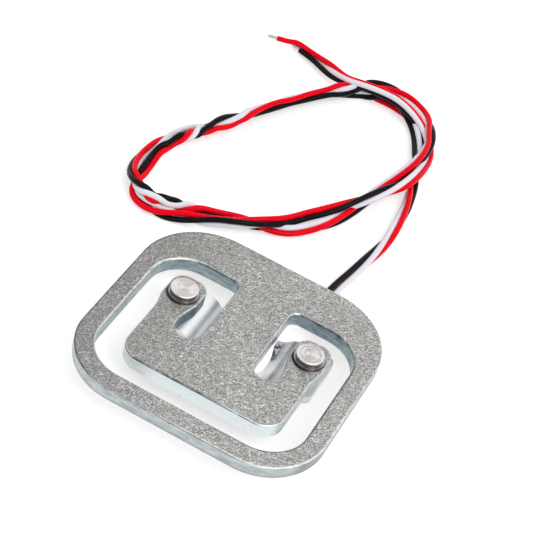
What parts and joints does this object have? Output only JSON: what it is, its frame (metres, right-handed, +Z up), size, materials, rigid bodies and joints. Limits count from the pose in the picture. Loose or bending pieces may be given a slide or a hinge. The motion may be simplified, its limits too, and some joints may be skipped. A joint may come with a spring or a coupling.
{
  "type": "half bridge load cell",
  "caption": "Flat square spring plate with a cut-out tongue, a load bracket riveted below it, strain gauges under the neck, and a coiled lead of twisted wires.",
  "frame": {"origin": "middle of the plate in plan, on the surface that the load bracket rests on", "axes": "+X along the plate's rear edge, +Y to the rear where the lead leaves, +Z up through the plate"},
  "size_m": [0.0467, 0.0856, 0.0059],
  "materials": {
    "plate_zinc": "zinc-plated sheet steel, fine matt grain",
    "bracket_zinc": "bright zinc-plated sheet steel, glossy",
    "rivet_nickel": "nickel-plated steel, satin",
    "gauge_film": "amber film",
    "gauge_foil": "etched alloy foil",
    "circuit_board": "green board",
    "enamelled_copper": "enamelled copper",
    "solder": "bright tin solder",
    "silicone": "white silicone, satin",
    "wire_black": "glossy insulation",
    "wire_red": "glossy insulation",
    "wire_white": "glossy insulation",
    "tinned_copper": "tinned strands"
  },
  "bodies": {
    "root": {"spring_plate": "plate_zinc", "load_bracket": "bracket_zinc", "rivet_left": "rivet_nickel", "rivet_right": "rivet_nickel", "gauge_film_front": "gauge_film", "gauge_film_rear": "gauge_film", "gauge_grid_front": "gauge_foil", "gauge_grid_rear": "gauge_foil", "terminal_strip": "circuit_board", "jumper_black": "enamelled_copper", "jumper_red_front": "enamelled_copper", "jumper_red_rear": "enamelled_copper", "jumper_white": "enamelled_copper", "solder_joint_black": "solder", "solder_joint_red": "solder", "solder_joint_white": "solder", "inner_wire_black": "wire_black", "inner_wire_red": "wire_red", "inner_wire_white": "wire_white", "potting": "silicone", "lead_run": "wire_red", "lead_coil": "wire_red", "lead_tail": "wire_red", "red_wire_end": "wire_red", "red_tip": "tinned_copper", "black_tip": "tinned_copper", "white_tip": "tinned_copper"}
  },
  "joints": []
}
